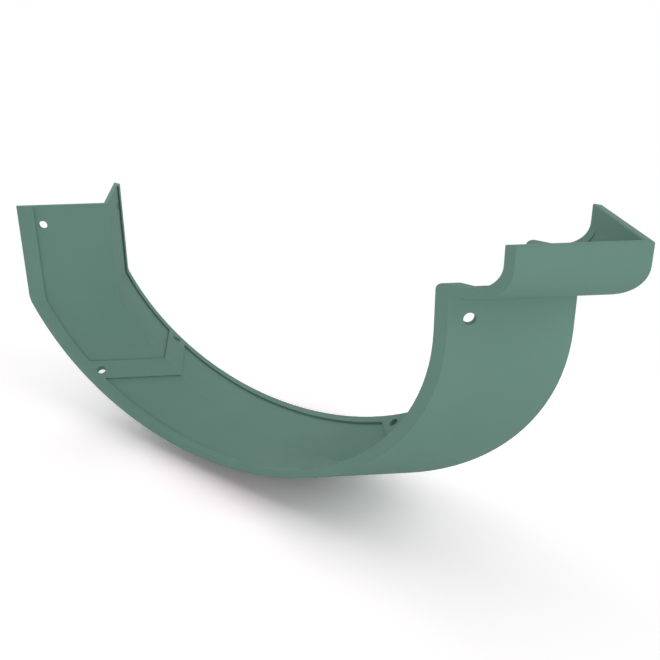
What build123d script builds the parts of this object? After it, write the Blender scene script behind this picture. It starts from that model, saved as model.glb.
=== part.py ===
"""External gutter corner: a one-piece cast union for two mitred gutter lengths at a 90 degree corner.

All sizes are in millimetres. The origin is on the building's corner, at the top edge of the back walls.
One leg lies along X with its back on the plane y = 0, the other along Y with its back on x = 0.
+Z is up, and the trough lies towards +X and -Y. Both ends are parallel to the mitre.
"""

import os
from math import cos, radians, sin, sqrt

from build123d import *

# Gutter section
GUTTER_WIDTH = 150.0  # back face to the front of the lip
BACK_HEIGHT = 75.6  # underside of the trough to the top of the back wall
KINK_HEIGHT = 37.5  # underside of the trough to the foot of the flat back
FRONT_RISE = 10.8  # straight front wall, from the trough's arc to the bead's underside
LEDGE_FLAT = 2.4  # flat underside of the bead, from the front wall to the quarter round
BEAD_RADIUS = 10.0  # outside of the bead's quarter round
LIP_RISE = 6.0  # straight lip above the quarter round
WALL = 2.0

# Corner
END_SPAN = 47.0  # between the two parallel ends, square to them

# Sealant channel between the end rims
CHANNEL_DEPTH = 0.8
RIM_WIDTH = 2.9  # square to the end
PAD_WIDTH = 7.8  # raised strip that the lower rivets go through
CHANNEL_FADE = 0.6  # on the lip, the channel stops this far below the quarter round's centre

# Rivet holes, with each inset taken along the leg from its end, on the outer face
RIVET_HOLE = 3.3
BACK_RIVET_DROP = 7.6  # below the top of the back wall
BACK_RIVET_INSET = 9.55
LOWER_BACK_ANGLE = 35.0  # degrees from the lowest line of the trough, towards the back
LOWER_BACK_INSET = 7.2
LOWER_FRONT_ANGLE = 32.8  # degrees from the lowest line of the trough, towards the front
LOWER_FRONT_INSET = 3.8
FRONT_RIVET_DROP = 6.75  # below the bead's underside
FRONT_RIVET_INSET = 5.8

# Edge rounding
EDGE_RADIUS = 0.4  # top edges of the back wall and of the lip
NOSE_RADIUS = 2.1  # inner top edge of the front wall
BEAD_FILLET = 1.5  # under the bead, against the front wall
KINK_RADIUS = 7.0  # bend between the back wall and the trough, on the outside

# Section points, as distance from the back face and height
front_face = GUTTER_WIDTH - BEAD_RADIUS - LEDGE_FLAT
bottom = -BACK_HEIGHT
kink = bottom + KINK_HEIGHT
# The trough's arc is tangent to the front wall and to the bottom, and ends at the foot of the back
trough_radius = front_face + KINK_HEIGHT - sqrt(2 * front_face * KINK_HEIGHT)
trough_across = front_face - trough_radius
trough_up = bottom + trough_radius
bead_underside = trough_up + FRONT_RISE
bead_across = GUTTER_WIDTH - BEAD_RADIUS
bead_up = bead_underside + BEAD_RADIUS
lip_top = bead_up + LIP_RISE
rim_wall = WALL + CHANNEL_DEPTH

# The ends, the rims and the mitre are upright planes across the building's corner
mitre = Plane(origin=(0, 0, 0), x_dir=(1, -1, 0), z_dir=(1, 1, 0))
near_end = mitre.offset(-END_SPAN / 2)
near_rim = near_end.offset(RIM_WIDTH)
leg_length = END_SPAN / sqrt(2)

# The section is drawn beyond the mitre, looking along the leg, and extruded past the near end
section_plane = Plane(origin=(GUTTER_WIDTH, 0, 0), x_dir=(0, -1, 0), z_dir=(-1, 0, 0))
section_reach = GUTTER_WIDTH + 2 * leg_length
wall_reach = 2 * rim_wall  # goes past both faces of a wall


def gutter_section(wall):
    """The gutter's section with this wall in the trough, the back and the ledge, and an even lip."""
    lip_inside = GUTTER_WIDTH - WALL
    shelf = bead_underside + wall
    shelf_radius = BEAD_RADIUS - WALL
    inner_radius = trough_radius - wall
    inner_foot = trough_up - sqrt(inner_radius**2 - (trough_across - wall) ** 2)
    with BuildSketch() as section:
        with BuildLine():
            # Outside, from the top of the back wall down, round and up to the bead
            back = FilletPolyline((wall / 2, 0), (0, 0), (0, kink), radius=EDGE_RADIUS)
            trough = ThreePointArc(back @ 1, (trough_across, bottom), (front_face, trough_up))
            front = FilletPolyline(
                trough @ 1, (front_face, bead_underside), (bead_across, bead_underside), radius=BEAD_FILLET
            )
            bead = JernArc(front @ 1, (1, 0), BEAD_RADIUS, 90)
            lip = FilletPolyline(
                bead @ 1,
                (GUTTER_WIDTH, lip_top),
                (lip_inside, lip_top),
                (lip_inside, shelf + shelf_radius),
                radius=EDGE_RADIUS,
            )
            # Inside, back from the lip to the top of the back wall
            cove = JernArc(lip @ 1, (0, -1), shelf_radius, -90)
            nose_line = FilletPolyline(
                cove @ 1, (front_face - wall, shelf), (front_face - wall, trough_up), radius=NOSE_RADIUS
            )
            inner = ThreePointArc(nose_line @ 1, (trough_across, bottom + wall), (wall, inner_foot))
            FilletPolyline(inner @ 1, (wall, 0), back @ 0, radius=EDGE_RADIUS)
        make_face()
        # The bend between the back wall and the trough is rounded on both faces
        fillet(section.vertices().sort_by_distance((0, kink))[0], KINK_RADIUS)
        fillet(section.vertices().sort_by_distance((wall, inner_foot))[0], KINK_RADIUS - wall)
    return section.sketch


def trough_point(angle):
    """A point of the trough's outer arc, this many degrees from its lowest line towards the front."""
    return (
        trough_across + trough_radius * sin(radians(angle)),
        trough_up - trough_radius * cos(radians(angle)),
    )


def rivet_plane(point, inset, inward):
    """The plane of a rivet hole at a point of the outer face, with its normal through the wall."""
    across, up = point
    along = across - leg_length + inset
    return Plane(origin=(along, -across, up), x_dir=(1, 0, 0), z_dir=(0, -inward[0], inward[1]))


def radial(angle):
    """The direction from the trough's outer arc to its centre, at this angle."""
    return (-sin(radians(angle)), cos(radians(angle)))


rivet_planes = [
    rivet_plane((0, -BACK_RIVET_DROP), BACK_RIVET_INSET, (1, 0)),
    rivet_plane(trough_point(-LOWER_BACK_ANGLE), LOWER_BACK_INSET, radial(-LOWER_BACK_ANGLE)),
    rivet_plane(trough_point(LOWER_FRONT_ANGLE), LOWER_FRONT_INSET, radial(LOWER_FRONT_ANGLE)),
    rivet_plane((front_face, bead_underside - FRONT_RIVET_DROP), FRONT_RIVET_INSET, (-1, 0)),
]

# The near leg's sealant channel, as the body that is taken out of its inside
with BuildPart() as channel:
    with BuildSketch(section_plane):
        add(gutter_section(rim_wall))
        add(gutter_section(WALL), mode=Mode.SUBTRACT)
        # The channel dies out up the lip
        with Locations((GUTTER_WIDTH, bead_up - CHANNEL_FADE)):
            Rectangle(GUTTER_WIDTH, BACK_HEIGHT, align=(Align.CENTER, Align.MIN), mode=Mode.SUBTRACT)
        # The pads stay standing
        for angle in (-LOWER_BACK_ANGLE, LOWER_FRONT_ANGLE):
            with Locations(Location(trough_point(angle), angle)):
                Rectangle(PAD_WIDTH, 2 * wall_reach, mode=Mode.SUBTRACT)
    extrude(amount=section_reach)
    split(bisect_by=near_rim, keep=Keep.TOP)

# The corner: the near leg, with its channel and rivet holes, and its mirror image across the mitre
with BuildPart() as gutter_corner:
    with BuildSketch(section_plane):
        add(gutter_section(rim_wall))
    extrude(amount=section_reach)
    split(bisect_by=near_end, keep=Keep.TOP)
    split(bisect_by=mitre, keep=Keep.BOTTOM)
    add(channel.part, mode=Mode.SUBTRACT)
    for plane in rivet_planes:
        with BuildSketch(plane):
            Circle(RIVET_HOLE / 2)
        extrude(amount=wall_reach, both=True, mode=Mode.SUBTRACT)
    mirror(about=mitre)
gutter_corner.part.label = "gutter_corner"

os.makedirs("parts", exist_ok=True)
export_step(gutter_corner.part, "parts/gutter_corner.step")
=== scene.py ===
from math import cos, radians, sin

import bpy
from mathutils import Matrix, Vector


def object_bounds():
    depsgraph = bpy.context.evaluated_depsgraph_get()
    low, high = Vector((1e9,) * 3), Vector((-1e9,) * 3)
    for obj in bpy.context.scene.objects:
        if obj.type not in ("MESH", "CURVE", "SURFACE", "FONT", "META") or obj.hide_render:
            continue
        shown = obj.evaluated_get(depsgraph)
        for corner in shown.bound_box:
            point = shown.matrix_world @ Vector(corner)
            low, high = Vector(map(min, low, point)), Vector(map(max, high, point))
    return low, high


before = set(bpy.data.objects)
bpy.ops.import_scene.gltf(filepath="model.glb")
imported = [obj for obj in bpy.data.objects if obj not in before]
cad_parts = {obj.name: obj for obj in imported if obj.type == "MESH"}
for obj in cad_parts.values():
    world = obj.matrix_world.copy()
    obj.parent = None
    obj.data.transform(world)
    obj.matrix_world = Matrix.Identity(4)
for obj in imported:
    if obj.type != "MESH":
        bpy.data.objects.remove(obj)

cad_low, cad_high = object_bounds()
middle = (cad_low + cad_high) / 2
scene = bpy.context.scene

# Lengths are in metres, and colours are linear
MM = 0.001
WHITE = (1, 1, 1, 1)

# Coat
COAT_DARK = (0.132, 0.242, 0.199, 1)
COAT_LIGHT = (0.142, 0.256, 0.212, 1)
COAT_SPECK = (0.125, 0.230, 0.189, 1)
SPECULAR = 0.15

# Noises of the coat, in cells to the metre
DRIFT_CELLS = 28.0
SHEEN_CELLS = 90.0
PEEL_CELLS = 900.0
SPECK_CELLS = 2600.0
GRAIN_CELLS = 3800.0

# Floor
FLOOR_HALF = 8.0
FLOOR_GAP = 5 * MM  # under the trough's lowest line, as the photograph's shadow lies
PAPER = (0.92, 0.92, 0.92, 1)  # as it lights the part

# Paper as the camera sees it. It is darker right under the part, a painted shadow, and a touch warm
# everywhere, a painted tint that evens out the green light the part throws on it
PAPER_PAINTED_SHADOW = (1.08, 0.94, 0.98, 1)  # painted shadow right under the part: darker paper, warm against the green bounce light
PAPER_CLEAR = (1.34, 1.28, 1.3, 1)  # away from it, so that lit paper comes out white

# Distances from the part's middle, over which the painted shadow on the paper fades out, and then the
# paper turns to plain white
PAINTED_SHADOW_START = 0.015
PAINTED_SHADOW_END = 0.045
FADE_START = 0.05
FADE_END = 0.2

# Light
SKY_LIGHT = 0.15  # strength that lights the part, where the camera sees 1
LAMP_REACH = 1.3  # from the part's middle

# Camera, as fitted to the photograph's square frame, in its pixels, radians and metres
IMAGE = 660
FOCAL = 909.15
SHIFT_RIGHT = 24.0
SHIFT_UP = 26.0
YAW = 0.0663
PITCH = 0.4233
ROLL = -0.0156
CAMERA_PLACE = Vector((54.18, -349.10, 89.05)) * MM
SENSOR = 36.0  # millimetres, as the lens is


class Nodes:
    """Adds shader nodes to one tree and links them."""

    def __init__(self, tree):
        self.tree = tree
        tree.nodes.clear()

    def add(self, kind, inputs=None, **settings):
        node = self.tree.nodes.new(kind)
        for name, value in settings.items():
            setattr(node, name, value)
        for name, value in (inputs or {}).items():
            self.put(node, name, value)
        return node

    def put(self, node, name, value):
        socket = node.inputs[name]
        if isinstance(value, bpy.types.NodeSocket):
            self.tree.links.new(value, socket)
        else:
            socket.default_value = value

    def noise(self, coords, cells, detail, roughness):
        node = self.add(
            "ShaderNodeTexNoise",
            {"Vector": coords, "Scale": cells, "Detail": detail, "Roughness": roughness},
        )
        return node.outputs["Fac"]

    def span(self, value, low, high, to_low=0.0, to_high=1.0):
        node = self.add(
            "ShaderNodeMapRange",
            {"Value": value, "From Min": low, "From Max": high, "To Min": to_low, "To Max": to_high},
        )
        return node.outputs["Result"]

    def mix(self, factor, first, second):
        # The sockets of this node share their names, so its colours go by number
        node = self.add("ShaderNodeMix", data_type="RGBA", clamp_factor=True)
        self.put(node, 0, factor)
        self.put(node, 6, first)
        self.put(node, 7, second)
        return node.outputs[2]

    def math(self, operation, first, second):
        node = self.add("ShaderNodeMath", operation=operation)
        self.put(node, 0, first)
        self.put(node, 1, second)
        return node.outputs[0]


def seen_directly(nodes):
    """One for rays from the camera, and for those that mirror or pass on what it sees."""
    path = nodes.add("ShaderNodeLightPath")
    mirrored = nodes.math("MAXIMUM", path.outputs["Is Glossy Ray"], path.outputs["Is Transmission Ray"])
    return nodes.math("MAXIMUM", path.outputs["Is Camera Ray"], mirrored)


def powder_coat():
    material = bpy.data.materials.new("powder_coat")
    material.use_nodes = True
    n = Nodes(material.node_tree)
    place = n.add("ShaderNodeTexCoord").outputs["Object"]

    # Colour: a slow drift over a few centimetres, then a fine speckle of the powder
    drift = n.noise(place, DRIFT_CELLS, detail=3.0, roughness=0.55)
    tone = n.mix(n.span(drift, 0.35, 0.65), COAT_DARK, COAT_LIGHT)
    speck = n.noise(place, SPECK_CELLS, detail=2.0, roughness=0.6)
    tone = n.mix(n.span(speck, 0.3, 0.7, to_high=0.35), tone, COAT_SPECK)

    # Gloss: dull satin, a little uneven over about a centimetre
    uneven = n.noise(place, SHEEN_CELLS, detail=4.0, roughness=0.6)
    sheen = n.span(uneven, 0.3, 0.7, 0.74, 0.84)

    # Relief: orange peel of the stoved film over a finer powder grain
    peel = n.noise(place, PEEL_CELLS, detail=2.0, roughness=0.45)
    grain = n.noise(place, GRAIN_CELLS, detail=1.0, roughness=0.5)
    fine = n.add("ShaderNodeBump", {"Height": grain, "Strength": 0.05, "Distance": 0.05 * MM})
    relief = n.add(
        "ShaderNodeBump",
        {"Height": peel, "Strength": 0.12, "Distance": 0.12 * MM, "Normal": fine.outputs["Normal"]},
    )

    shader = n.add(
        "ShaderNodeBsdfPrincipled",
        {
            "Base Color": tone,
            "Roughness": sheen,
            "Specular IOR Level": SPECULAR,
            "Normal": relief.outputs["Normal"],
        },
    )
    n.add("ShaderNodeOutputMaterial", {"Surface": shader.outputs["BSDF"]})
    return material


def pale_floor():
    """Paper that takes the part's shadow, is darker right under the part as a painted shadow that
    clears away from it, and is plain white further out.
    """
    material = bpy.data.materials.new("studio_floor")
    material.use_nodes = True
    n = Nodes(material.node_tree)
    direct = seen_directly(n)
    reach = n.add("ShaderNodeVectorMath", operation="LENGTH")
    n.put(reach, 0, n.add("ShaderNodeTexCoord").outputs["Object"])

    # Painted shadow: the paper seen by the camera is darker and warm right under the part, and clears
    # away from it
    clear = n.span(reach.outputs["Value"], PAINTED_SHADOW_START, PAINTED_SHADOW_END)
    seen = n.mix(clear, PAPER_PAINTED_SHADOW, PAPER_CLEAR)
    paper = n.add("ShaderNodeBsdfDiffuse", {"Color": n.mix(direct, PAPER, seen)})

    outside = n.span(reach.outputs["Value"], FADE_START, FADE_END)
    white = n.add("ShaderNodeEmission", {"Color": WHITE, "Strength": 1.0})
    surface = n.add("ShaderNodeMixShader", {"Fac": n.math("MULTIPLY", outside, direct)})
    n.put(surface, 1, paper.outputs["BSDF"])
    n.put(surface, 2, white.outputs["Emission"])
    n.add("ShaderNodeOutputMaterial", {"Surface": surface.outputs["Shader"]})
    return material


def flat_floor():
    """A large square, centred under the part."""
    left, right = -FLOOR_HALF, FLOOR_HALF
    corners = [(left, left, 0), (right, left, 0), (right, right, 0), (left, right, 0)]
    mesh = bpy.data.meshes.new("floor")
    mesh.from_pydata(corners, [], [(0, 1, 2, 3)])
    mesh.materials.append(pale_floor())
    square = bpy.data.objects.new("floor", mesh)
    square.location = (middle.x, middle.y, cad_low.z - FLOOR_GAP)
    scene.collection.objects.link(square)
    return square


def even_sky():
    """Even white surroundings, which light the part only a little."""
    world = bpy.data.worlds.new("studio")
    world.use_nodes = True
    n = Nodes(world.node_tree)
    strength = n.span(seen_directly(n), 0.0, 1.0, SKY_LIGHT, 1.0)
    sky = n.add("ShaderNodeBackground", {"Color": WHITE, "Strength": strength})
    n.add("ShaderNodeOutputWorld", {"Surface": sky.outputs["Background"]})
    return world


def soft_lamp(name, azimuth, elevation, size, power):
    """A square soft box that faces the part. Azimuth 0 is on the camera's side, and 90 on the right."""
    turn, rise = radians(azimuth), radians(elevation)
    way = Vector((sin(turn) * cos(rise), -cos(turn) * cos(rise), sin(rise)))
    lamp = bpy.data.lights.new(name, "AREA")
    lamp.shape = "SQUARE"
    lamp.size = size
    lamp.energy = power
    box = bpy.data.objects.new(name, lamp)
    scene.collection.objects.link(box)
    facing = way.to_track_quat("Z", "Y").to_matrix().to_4x4()
    box.matrix_world = Matrix.Translation(middle + LAMP_REACH * way) @ facing


def photo_camera():
    """The camera at the photograph's viewing angle."""
    ahead = Vector((sin(YAW) * cos(PITCH), cos(YAW) * cos(PITCH), -sin(PITCH)))
    level_right = Vector((cos(YAW), -sin(YAW), 0))
    level_up = level_right.cross(ahead)
    right = cos(ROLL) * level_right + sin(ROLL) * level_up
    up = cos(ROLL) * level_up - sin(ROLL) * level_right
    lens = bpy.data.cameras.new("camera")
    lens.sensor_width = SENSOR
    lens.lens = SENSOR * FOCAL / IMAGE
    lens.shift_x = SHIFT_RIGHT / IMAGE
    lens.shift_y = SHIFT_UP / IMAGE
    lens.clip_start = 0.01
    lens.clip_end = 50.0
    camera = bpy.data.objects.new("camera", lens)
    scene.collection.objects.link(camera)
    facing = Matrix((right, up, -ahead)).transposed().to_4x4()
    camera.matrix_world = Matrix.Translation(CAMERA_PLACE) @ facing
    return camera


# The part
coat = powder_coat()
for material_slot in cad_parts["gutter_corner"].material_slots:
    material_slot.material = coat

# The studio
floor = flat_floor()
scene.world = even_sky()
soft_lamp("front", azimuth=4, elevation=10, size=0.9, power=9.0)
soft_lamp("front_right", azimuth=60, elevation=40, size=0.9, power=6.1)
soft_lamp("left", azimuth=-95, elevation=6, size=0.7, power=4.0)
soft_lamp("back_left", azimuth=-135, elevation=40, size=0.9, power=4.8)
soft_lamp("back", azimuth=180, elevation=40, size=0.9, power=4.4)
soft_lamp("back_right", azimuth=120, elevation=40, size=0.9, power=1.1)
soft_lamp("top", azimuth=0, elevation=85, size=1.0, power=1.0)
scene.camera = photo_camera()
scene.view_settings.view_transform = "Standard"
